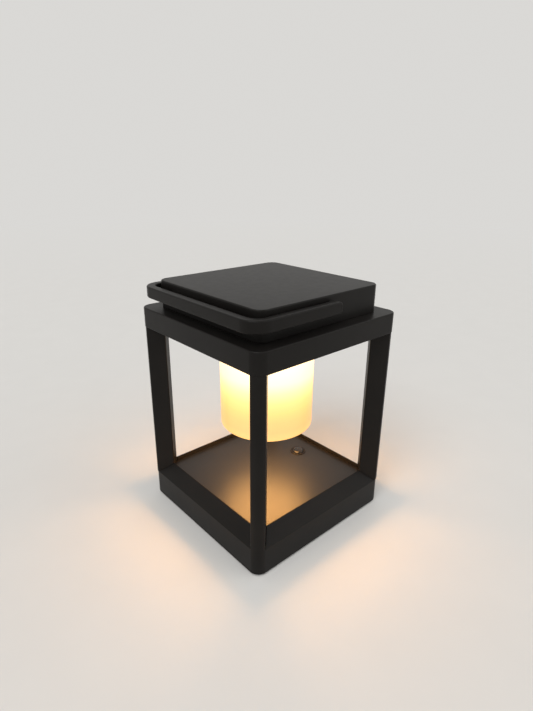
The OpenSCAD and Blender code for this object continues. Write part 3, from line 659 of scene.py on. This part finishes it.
# %% Weld and sweep
WELD = 0.03 * MM


def weld(piece):
    """Closes the skin of a swept piece and turns its faces outwards."""
    shape = bmesh.new()
    shape.from_mesh(piece.data)
    bmesh.ops.remove_doubles(shape, verts=shape.verts, dist=WELD)
    bmesh.ops.dissolve_degenerate(shape, edges=shape.edges, dist=WELD / 4)
    open_edges = [edge for edge in shape.edges if edge.is_boundary]
    bmesh.ops.holes_fill(shape, edges=open_edges, sides=4)
    bmesh.ops.recalc_face_normals(shape, faces=shape.faces)
    shape.to_mesh(piece.data)
    shape.free()
    return piece


def outline_mesh(name, points, closed=True):
    """An outline as a mesh of edges, standing in the plane of X and Z."""
    mesh = bpy.data.meshes.new(name)
    pairs = [(i, i + 1) for i in range(len(points) - 1)]
    if closed:
        pairs.append((len(points) - 1, 0))
    mesh.from_pydata([(p.x, 0, p.y) for p in points], pairs, [])
    return mesh


def swept(name, finish, corners, core=0.0, closed=True, corner_steps=CORNER_STEPS):
    """An outline carried round a square of half side core, or turned on a lathe.

    Its corners are (outwards from the middle of the round, up, radius), in millimetres.
    """
    mesh = outline_mesh(name, rounded(corners, closed=closed), closed)
    sizes = {"half_side": core, "swing": SWING, "corner_steps": corner_steps, "finish": finish}
    return weld(run(sweep, name, mesh, **sizes))


print("outlines can be swept")

# %% [markdown]
# ## Cutting
#
# Pockets and holes are cut, as a mill would cut them. The exact solver is slower than the
# fast one, but it leaves a closed skin, and there are only a few cuts. Cutters that don't
# touch each other are joined first, so that one cut does the work of four.

# %% Cut and join
def cut(piece, cutter):
    """Takes the cutter's space out of the piece."""
    knife = piece.modifiers.new("cut", "BOOLEAN")
    knife.object = cutter
    knife.solver = "EXACT"
    plain(piece)
    bpy.data.objects.remove(cutter)
    return piece


def joined(pieces):
    """Several pieces as one object."""
    shape = bmesh.new()
    for piece in pieces:
        shape.from_mesh(piece.data)
    first, *others = pieces
    shape.to_mesh(first.data)
    shape.free()
    for piece in others:
        bpy.data.objects.remove(piece)
    return first


print("pieces can be cut and joined")

# %% [markdown]
# ## Rim of the base
#
# The rim is a casting with an upright skirt, a slope that climbs inwards, and a narrow flat on
# top, from which an upright rib drops to the deck. It could be put together from bars and
# wedges, but their faces would have to be fitted at every corner. One closed outline that is
# carried round the square gives all of it, inside and out.

# %% Rim of the base
RIM_WALL = 2.2
RIDGE_W = 0.8
RIB_T = 2.0  # of the upright rib beside the deck
LEDGE_T = 1.5
DECK_T = 1.5
DECK_GAP = 0.15

deck_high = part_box("deck_plate")[1]
base_r = (rim_half - core) / MM
bottom, shoulder, ridge = rim_low.z / MM, post_low.z / MM, rim_high.z / MM
inner = base_r - RIM_WALL
ridge_in = deck_high.x / MM + DECK_GAP - core_mm
ridge_out = ridge_in + RIDGE_W
rib_out = ridge_in + RIB_T
ledge = deck_high.z / MM - DECK_T - LEDGE_T
slope = (ridge - shoulder) / (base_r - ridge_out)
under = ridge - RIM_WALL * math.hypot(1, slope)
rim = swept(
    "rim_casting",
    black_coat,
    [
        (inner, bottom, 0.3),
        (base_r, bottom, 0.5),
        (base_r, shoulder, 0.9),
        (ridge_out, ridge, 0.6),
        (ridge_in, ridge, 0.35),
        (ridge_in, ledge, 0.2),
        (rib_out, ledge, 0.2),
        (rib_out, under - (rib_out - ridge_out) * slope, 0),
        (inner, under - (inner - ridge_out) * slope, 0),
    ],
    core=core,
)
print("the slope falls", round(slope, 2), "mm for each mm outwards")

# %% [markdown]
# ## Pockets for the posts, and the mouth of the socket
#
# Each post enters a pocket that follows its section with a thin seam all round, so the same
# function gives both outlines. The mouth of the charge socket is a slot with round ends. It is
# raised as a block, laid on its side and cut through the back of the skirt.

# %% Pockets and the socket's mouth
SEAM = 0.4  # round a post, where it enters the rim
SOCKET_MOUTH = (9.5, 3.8)  # width and height, millimetres
HAIR = 0.01  # that each arc stops short of the middle of a round end
BEYOND = 3 * MM  # that a cutter passes the skin it cuts
QUARTERS = [(1, 1), (-1, 1), (-1, -1), (1, -1)]  # signs of x and y, round the lamp

pockets = []
for turn in POST_TURNS.values():
    pocket = prism("pocket", post_outline(SEAM), post_low.z, rim_high.z + BEYOND)
    pocket.data.transform(Matrix.Rotation(math.radians(turn), 4, "Z"))
    pockets.append(pocket)
cut(rim, joined(pockets))
socket_low, socket_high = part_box("charge_socket")
mouth_w, mouth_h = SOCKET_MOUTH
mouth_r = mouth_h / 2 - HAIR
mouth = prism(
    "mouth",
    rounded([(i * mouth_h / 2, j * mouth_w / 2, mouth_r) for i, j in QUARTERS]),
    socket_high.x - BEYOND,
    rim_half + BEYOND,
)
mouth.data.transform(
    Matrix.Translation((0, 0, (socket_low.z + socket_high.z) / 2))
    @ Matrix.Rotation(math.pi / 2, 4, "Y")
)
cut(rim, mouth)
stand_for(shade(rim), "lantern", "black_coat", "base_rim")

# %% [markdown]
# ## Top frame
#
# The top frame is the same kind of ring as the rim, with an upright wall and a flange that
# reaches under the cap. The sweep brings the flange as far as the centres of the corners,
# where it ends square. A plate with a square hole takes it from there to under the cap.

# %% Top frame
FRAME_WALL = 2.5
FLANGE_T = 2.5
FLANGE_LAP = 10.25  # that the flange reaches under the cap

low, high = frame_low.z / MM, frame_high.z / MM
inner = CORNER_R - FRAME_WALL
top_ring = swept(
    "top_frame_casting",
    black_coat,
    [
        (inner, low, 0.3),
        (CORNER_R, low, 0.6),
        (CORNER_R, high, 1.0),
        (0, high, 0),
        (0, high - FLANGE_T, 0),
        (inner, high - FLANGE_T, 1.0),
    ],
    core=core,
)
flange_in = cap_half - FLANGE_LAP * MM
frame_plate = prism(
    "flange",
    [Vector(corner) * core for corner in QUARTERS],
    frame_high.z - FLANGE_T * MM,
    frame_high.z,
    black_coat,
)
hole = prism(
    "hole",
    [Vector(corner) * flange_in for corner in QUARTERS],
    frame_high.z - 2 * FLANGE_T * MM,
    frame_high.z + FLANGE_T * MM,
)
cut(frame_plate, hole)
stand_for(shade(joined([top_ring, frame_plate])), "lantern", "black_coat", "top_frame")

# %% [markdown]
# ## Cap
#
# The cap is a cast shell. A cube with Bevel and Solidify would come close, but all its edges
# would get one radius. Here the outline runs from the middle of the top over the edge, down,
# round the bottom of the wall and back up inside. It is left open, and welding closes the two
# squares over the middle.

# %% Cap
CAP_R = 8.0
CAP_WALL = 2.2

low, high = cap_low.z / MM, cap_high.z / MM
inner = CAP_R - CAP_WALL
cap = swept(
    "cap_casting",
    black_coat,
    [
        (0, high, 0),
        (CAP_R, high, 1.0),
        (CAP_R, low, 0.3),
        (inner, low, 0.3),
        (inner, high - CAP_WALL, 1.0),
        (0, high - CAP_WALL, 0),
    ],
    core=cap_half - CAP_R * MM,
    closed=False,
)
stand_for(shade(cap), "lantern", "black_coat", "cap_shell")

# %% [markdown]
# ## Carrying handle
#
# The real handle is a flat bar with rounded ends, bent twice into a U. It could be swept along
# the U, but then its ends would have to be rounded by themselves. Here it is made as the real
# one is: drawn flat and then bent. The first cell is the U itself, as a function that gives a
# point and the outward direction for any length along the middle of the bar.

# %% The way of the handle
HANDLE_T = 7.0 * MM
HANDLE_BEND_R = 15.0 * MM  # outside of the bend

bar_h = handle_high.z - handle_low.z
end_r = bar_h / 2
pivot = Vector((handle_high.x - end_r, 0, (handle_low.z + handle_high.z) / 2))
mid_r = HANDLE_BEND_R - HANDLE_T / 2
arm = pivot.x - handle_low.x - HANDLE_BEND_R  # straight part of an arm
bend = mid_r * math.pi / 2
bridge = 2 * (handle_high.y - HANDLE_BEND_R)
bar_l = 2 * arm + 2 * bend + bridge


def along_handle(s):
    """Point and outward direction on the middle line of the U, s metres from a pivot."""
    side = -1
    if s > bar_l / 2:
        s, side = bar_l - s, 1
    y_mid = handle_high.y - HANDLE_T / 2
    if s < arm:
        return Vector((pivot.x - s, side * y_mid)), Vector((0, side))
    turn = min((s - arm) / mid_r, math.pi / 2)
    out = Vector((-math.sin(turn), side * math.cos(turn)))
    centre = Vector((pivot.x - arm, side * (y_mid - mid_r)))
    past = s - arm - bend
    slide = Vector((0, -side * max(past, 0)))
    return centre + out * mid_r + slide, out


print(f"the bar is {1000 * bar_l:.0f} mm long between its pivots")

# %% [markdown]
# ## The flat bar
#
# The bar is an outline with round corners that is thickened, and its long edges are eased. It
# is then sliced across where it will bend, because a face can only follow a curve at its
# points.

# %% The flat bar
HANDLE_EDGE_R = 1.2 * MM
HANDLE_END_R = 3.0  # millimetres, of the corners at the end of an arm
BEND_STEPS = 12
ON_SLICE = 0.003 * MM  # how near to a slice a point counts as on it


def flat_bar():
    """The bar before it is bent: X along it, Y through its thickness and Z up."""
    shape = bmesh.new()
    first, last, half = -end_r / MM, (bar_l + end_r) / MM, bar_h / 2 / MM
    ends = [(first, -half), (last, -half), (last, half), (first, half)]
    outline = rounded([(x, z, HANDLE_END_R) for x, z in ends])
    face = shape.faces.new([shape.verts.new((p.x, -HANDLE_T / 2, p.y)) for p in outline])
    raised = bmesh.ops.extrude_face_region(shape, geom=[face])["geom"]
    far = [v for v in raised if isinstance(v, bmesh.types.BMVert)]
    bmesh.ops.translate(shape, verts=far, vec=(0, HANDLE_T, 0))
    bmesh.ops.recalc_face_normals(shape, faces=shape.faces)
    edges = [e for e in shape.edges if abs(e.verts[0].co.y - e.verts[1].co.y) < WELD]
    bmesh.ops.bevel(
        shape, geom=edges, offset=HANDLE_EDGE_R, segments=4, profile=0.5, affect="EDGES"
    )
    for k in range(BEND_STEPS + 1):
        for s in (arm + bend * k / BEND_STEPS, bar_l - arm - bend * k / BEND_STEPS):
            everything = [*shape.verts, *shape.edges, *shape.faces]
            bmesh.ops.bisect_plane(
                shape, geom=everything, dist=ON_SLICE, plane_co=(s, 0, 0), plane_no=(1, 0, 0)
            )
    return shape


bar = flat_bar()
print("the flat bar has", len(bar.faces), "faces")

# %% [markdown]
# ## The bend
#
# Every point is carried from its place along the flat bar to the same distance along the U,
# and its offset from the middle becomes an offset outwards. The slices keep their shape, so
# the eased edges come through the bend unharmed.

# %% The bend
for v in bar.verts:
    middle, out = along_handle(v.co.x)
    flat = middle + out * v.co.y
    v.co = (flat.x, flat.y, pivot.z + v.co.z)
bmesh.ops.recalc_face_normals(bar, faces=bar.faces)
handle_mesh = bpy.data.meshes.new("carry_handle")
bar.to_mesh(handle_mesh)
bar.free()
handle_mesh.materials.append(black_coat)
handle = bpy.data.objects.new("carry_handle", handle_mesh)
scene.collection.objects.link(handle)
stand_for(shade(handle), "handle", "black_coat", "handle")

# %% [markdown]
# ## Diffuser
#
# The diffuser is a moulded opal cup with a lip by which it hangs. A Screw modifier could turn
# it, but the lathe is already there and closes the poles too. The outline runs out along the
# bottom, round the bottom edge, up the wall, out to the lip, and back down inside. The wall
# is equally thick all the way, which is what lets it glow evenly.

# %% Diffuser
DIFFUSER_R = 40.0
DIFFUSER_WALL = 2.0
DIFFUSER_EDGE_R = 3.0
LIP_T = 2.0
ROUND_STEPS = 32  # in each quarter of a large round piece

low, high = diffuser_low.z / MM, diffuser_high.z / MM
lip_r = diffuser_high.x / MM
cup = swept(
    "opal_diffuser",
    opal,
    [
        (0, low, 0),
        (DIFFUSER_R, low, DIFFUSER_EDGE_R),
        (DIFFUSER_R, high - LIP_T, 0.4),
        (lip_r, high - LIP_T, 0.4),
        (lip_r, high, 0.4),
        (DIFFUSER_R - DIFFUSER_WALL, high, 0.4),
        (DIFFUSER_R - DIFFUSER_WALL, low + DIFFUSER_WALL, DIFFUSER_EDGE_R / 2),
        (0, low + DIFFUSER_WALL, 0),
    ],
    closed=False,
    corner_steps=ROUND_STEPS,
)
stand_for(shade(cup), "lantern", "opal", "diffuser")

# %% [markdown]
# ## Button
#
# The button is a short piston with a collar that keeps it in. Its crown is slightly domed, and
# its wide round edge mirrors the bright underside of the diffuser as one crescent. It is lathe
# work, so one outline from the axis to the edge is all of it.

# %% Button
BUTTON_R = 5.4
COLLAR_T = 1.8
BUTTON_EDGE_R = 1.9
EDGE_FALL = 0.4  # from the middle of the crown to its edge
CROWN_FALL = 0.05  # from the middle of the crown to half way out
CROWN_R = 4.0

button_low, button_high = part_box("power_button")
button_at = Vector(((button_low.x + button_high.x) / 2, 0, 0))
low, high = button_low.z / MM, button_high.z / MM
collar_r = (button_high.x - button_low.x) / 2 / MM
dome = swept(
    "button_dome",
    black_plastic,
    [
        (0, low, 0),
        (collar_r, low, 0.2),
        (collar_r, low + COLLAR_T, 0.2),
        (BUTTON_R, low + COLLAR_T, 0),
        (BUTTON_R, high - EDGE_FALL, BUTTON_EDGE_R),
        (BUTTON_R / 2, high - CROWN_FALL, CROWN_R),
        (0, high, 0),
    ],
    closed=False,
)
dome.data.transform(Matrix.Translation(button_at))
stand_for(shade(dome), "button", "black_plastic", "power_button")

# %% [markdown]
# ## Ring of the button
#
# The ring is a bush with a thin flange on the deck. A hair of clearance between it and the
# button lets the button travel, and shows as a dark line.

# %% Ring of the button
RING_HOLE_R = 5.48
RING_WALL = 0.9
RING_T = 0.6

ring_low, ring_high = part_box("button_ring")
low, high = ring_low.z / MM, ring_high.z / MM
flange_r = (ring_high.x - ring_low.x) / 2 / MM
sleeve_r = RING_HOLE_R + RING_WALL
bezel = swept(
    "button_bezel",
    black_coat,
    [
        (RING_HOLE_R, low, 0.2),
        (sleeve_r, low, 0.2),
        (sleeve_r, high - RING_T, 0),
        (flange_r, high - RING_T, 0),
        (flange_r, high, 0.45),
        (RING_HOLE_R, high, 0.25),
    ],
)
bezel.data.transform(Matrix.Translation(button_at))
stand_for(shade(bezel), "lantern", "black_coat", "button_ring")

# %% [markdown]
# ## Copies at points
#
# A foot and a screw are each made once. An Array modifier could repeat them, but with all
# copies turned alike. So a second tree puts a copy at every point of a mesh that has only
# points, and turns each by its own random angle, because a screw stops where its thread ends.
# The seed is fixed, so the angles are the same in every run.

# %% A tree that repeats a pattern at points
SEED = 7

scatter = Tree("copies_at_points", pattern="Object", seed="Int", most_turn="Float")
info = scatter.add("GeometryNodeObjectInfo", {"Object": scatter.sizes["pattern"]})
shape = info["Geometry"]
points = scatter.add("GeometryNodeMeshToPoints", {"Mesh": scatter.sizes["Geometry"]})[0]
random_turn = scatter.add(
    "FunctionNodeRandomValue",
    {"Max": scatter.sizes["most_turn"], "Seed": scatter.sizes["seed"]},
    data_type="FLOAT",
)
turn = scatter.vector(z=random_turn[1])
copies = scatter.add(
    "GeometryNodeInstanceOnPoints", {"Points": points, "Instance": shape, "Rotation": turn}
)[0]
scatter.close(copies)


def repeated(name, pattern, places, finish, most_turn=0.0):
    """The pattern at every place, as one plain piece. The pattern itself is deleted."""
    mesh = bpy.data.meshes.new(name)
    mesh.from_pydata(places, [], [])
    sizes = {"pattern": pattern, "seed": SEED, "most_turn": most_turn, "finish": finish}
    piece = run(scatter, name, mesh, **sizes)
    bpy.data.objects.remove(pattern)
    return piece


def four(x, y, z):
    """The same place in each quarter of the lamp."""
    return [(i * x, j * y, z) for i in (-1, 1) for j in (-1, 1)]


print("the tree for copies has", len(scatter.nodes), "nodes")

# %% [markdown]
# ## Feet
#
# The lamp stands on four round rubber feet, with a shallow dish in each, which grips better
# than a flat. A foot is lathe work, and the tree puts it at the four places.

# %% Feet
FOOT_R = 7.0
FOOT_EDGE_R = 0.6
FOOT_DISH_R = 4.0
FOOT_DISH = 0.4
FOOT_STEPS = 10

feet_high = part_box("rubber_feet")[1]
foot_top = feet_high.z / MM
foot = swept(
    "foot",
    black_rubber,
    [
        (0, FOOT_DISH, 0),
        (FOOT_DISH_R, FOOT_DISH, 0.3),
        (FOOT_DISH_R + FOOT_DISH, 0, 0.3),
        (FOOT_R, 0, FOOT_EDGE_R),
        (FOOT_R, foot_top, 0.1),
        (0, foot_top, 0),
    ],
    closed=False,
    corner_steps=FOOT_STEPS,
)
foot_at = feet_high.x - FOOT_R * MM
feet = repeated("foot_pads", foot, four(foot_at, foot_at, 0), black_rubber)
stand_for(shade(feet), "lantern", "black_rubber", "rubber_feet")

# %% [markdown]
# ## Screws that can be seen from below
#
# The cover and the ceiling plate are held by small screws with a hexagon socket, their heads
# sunk flush. The body is turned and the socket is cut. Screws that nothing shows keep the
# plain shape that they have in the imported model.

# %% Screws that can be seen from below
HEAD_R = 2.5
HEAD_T = 1.0
HEX_R = 1.3
HEX_DEEP = 0.6
SHANK_R = 1.2
SCREW_STEPS = 6


def sunk_screw(length):
    """A screw that points up, its head flush with z = 0, with a hexagon socket."""
    body = swept(
        "screw",
        steel,
        [
            (0, 0, 0),
            (HEAD_R, 0, 0.25),
            (HEAD_R, HEAD_T, 0.1),
            (SHANK_R, HEAD_T, 0),
            (SHANK_R, length, 0.3),
            (0, length, 0),
        ],
        closed=False,
        corner_steps=SCREW_STEPS,
    )
    turns = [math.radians(60 * k) for k in range(6)]
    hexagon = [Vector((math.cos(a), math.sin(a))) * HEX_R * MM for a in turns]
    return cut(body, prism("key", hexagon, -BEYOND, HEX_DEEP * MM))


for name, node in [("cover_screw_set", "cover_screws"), ("ceiling_screw_set", "ceiling_screws")]:
    low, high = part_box(node)
    pattern = sunk_screw((high.z - low.z) / MM)
    places = four(high.x - HEAD_R * MM, high.y - HEAD_R * MM, low.z)
    row = repeated(name, pattern, places, steel, most_turn=math.pi / 3)
    stand_for(shade(row), "lantern", "steel", node)

# %% [markdown]
# ## Finishes of the carried-over nodes
#
# All other nodes keep their own mesh, because their shape is already right: plates, boards,
# cells, plugs and what else is inside. They could be modelled again like the rest, but only
# their finish is missing, and each gets it through its material slot.

# %% Finishes of the nodes
NODE_FINISH = {
    smooth_coat: ["deck_plate"],
    black_coat: ["ceiling_plate"],
    black_plastic: ["bottom_cover", "battery_cradle", "tact_switch"],
    black_rubber: ["diffuser_gasket", "supply_lead", "friction_washers"],
    white_plastic: ["switch_plunger", "clamp_ring", "lead_plugs"],
    steel: ["board_screws", "lower_post_screws", "upper_post_screws", "clamp_screws",
            "driver_screws", "cap_screws", "pivot_pins", "charge_socket"],
    brass: ["pivot_bushes"],
    bare_aluminium: ["heat_spreader"],
    green_board: ["control_board", "driver_board"],
    white_board: ["led_board"],
    led_phosphor: ["led_chips"],
    cell_wrap: ["battery_cells"],
}
for finish, names in NODE_FINISH.items():
    for name in names:
        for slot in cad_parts[name].material_slots:
            slot.material = finish
print(sum(len(names) for names in NODE_FINISH.values()), "nodes keep their mesh")

# %% [markdown]
# ## Floor
#
# The floor is plain and pale. Far from the lamp it blends into the colour of the backdrop, so
# no horizon shows. The blend is only for rays that are seen, from the camera, in a reflection
# or through a glass, so the light that the floor throws back stays as it is.

# %% Floor
FLOOR_HALF = 6.0
PALE = (0.70, 0.69, 0.67)
FADE = (0.9, 2.6)  # metres from the lamp, where the floor turns into the backdrop


def seen_ray(tree):
    """1 for a ray of the camera, a reflection or a glass, 0 for a ray that lights."""
    ray = tree.add("ShaderNodeLightPath")
    seen = ray["Is Camera Ray"]
    for kind in ("Is Glossy Ray", "Is Transmission Ray"):
        seen = tree.add("ShaderNodeMath", {0: seen, 1: ray[kind]}, operation="MAXIMUM")[0]
    return seen


def floor_finish():
    f = Finish("pale_floor")
    f.set(base_color=f.mottle(PALE, 40 * MM, dark=0.985))
    f.set(roughness=0.7, specular_IOR_level=0.2)
    f.set(normal=f.bump(f.noise(1.5 * MM, detail=2), depth=0.02 * MM, strength=0.3))
    away = f.add("ShaderNodeVectorMath", {"Vector": f.place}, operation="LENGTH")["Value"]
    far = f.spread(away, 0.0, 1.0, *FADE)
    share = f.add("ShaderNodeMath", {0: far, 1: seen_ray(f)}, operation="MULTIPLY")[0]
    backdrop = f.add("ShaderNodeEmission", {"Color": rgba(PALE)})[0]
    mix = f.add("ShaderNodeMixShader", {0: share, 1: f.shader.outputs[0], 2: backdrop})[0]
    f.put(f.nodes["Material Output"], "Surface", mix)
    return f.material


floor_mesh = bpy.data.meshes.new("floor")
floor_mesh.from_pydata(
    [(i * FLOOR_HALF, j * FLOOR_HALF, 0) for i, j in QUARTERS],
    [],
    [(0, 1, 2, 3)],
)
floor_mesh.materials.append(floor_finish())
floor = bpy.data.objects.new("floor", floor_mesh)
scene.collection.objects.link(floor)
floor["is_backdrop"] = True
print("the floor is", 2 * FLOOR_HALF, "m square")

# %% [markdown]
# ## Light
#
# One wide soft sun shines from the left and a weaker one from the right. A sun with a large
# angle gives the same light everywhere, and a shadow with a soft edge, as a large window does.
# Together with the sky they light the floor to its own colour and no further.

# %% Light
def soft_sun(name, azimuth, elevation, strength, angle):
    """A sun that shines from the given direction, with a soft edge."""
    data = bpy.data.lights.new(name, "SUN")
    data.energy = strength
    data.angle = math.radians(angle)
    lamp = bpy.data.objects.new(name, data)
    lamp.matrix_world = Matrix.Rotation(math.radians(azimuth), 4, "Z") @ Matrix.Rotation(
        math.radians(90 - elevation), 4, "Y"
    )
    scene.collection.objects.link(lamp)


soft_sun("key", azimuth=200, elevation=52, strength=1.43, angle=40)
soft_sun("fill", azimuth=300, elevation=35, strength=0.5, angle=60)
print("the key sun and the fill sun shine")

# %% [markdown]
# ## Sky and backdrop
#
# An even sky lights the lamp from all sides. The camera and the reflections see a backdrop
# instead, which has the floor's own colour, so both run into each other.

# %% Sky and backdrop
SKY_LIGHT = 0.55

world = bpy.data.worlds.new("sky")
scene.world = world
world.use_nodes = True
sky = Nodes(world.node_tree)
light = sky.nodes["Background"]
sky.put(light, "Color", rgba((1.0, 0.99, 0.97)))
sky.put(light, "Strength", SKY_LIGHT)
shown = sky.add("ShaderNodeBackground", {"Color": rgba(PALE)})[0]
mix = sky.add("ShaderNodeMixShader", {0: seen_ray(sky), 1: light.outputs[0], 2: shown})[0]
sky.put(sky.nodes["World Output"], "Surface", mix)
print("stage is set")

# %% [markdown]
# ## Size
#
# The box round everything that is shown, with the floor left out, is printed in millimetres.
# The visual model has to stay inside the box of the imported model.

low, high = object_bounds()
print("visual box", [round(c / MM, 1) for c in low], [round(c / MM, 1) for c in high])
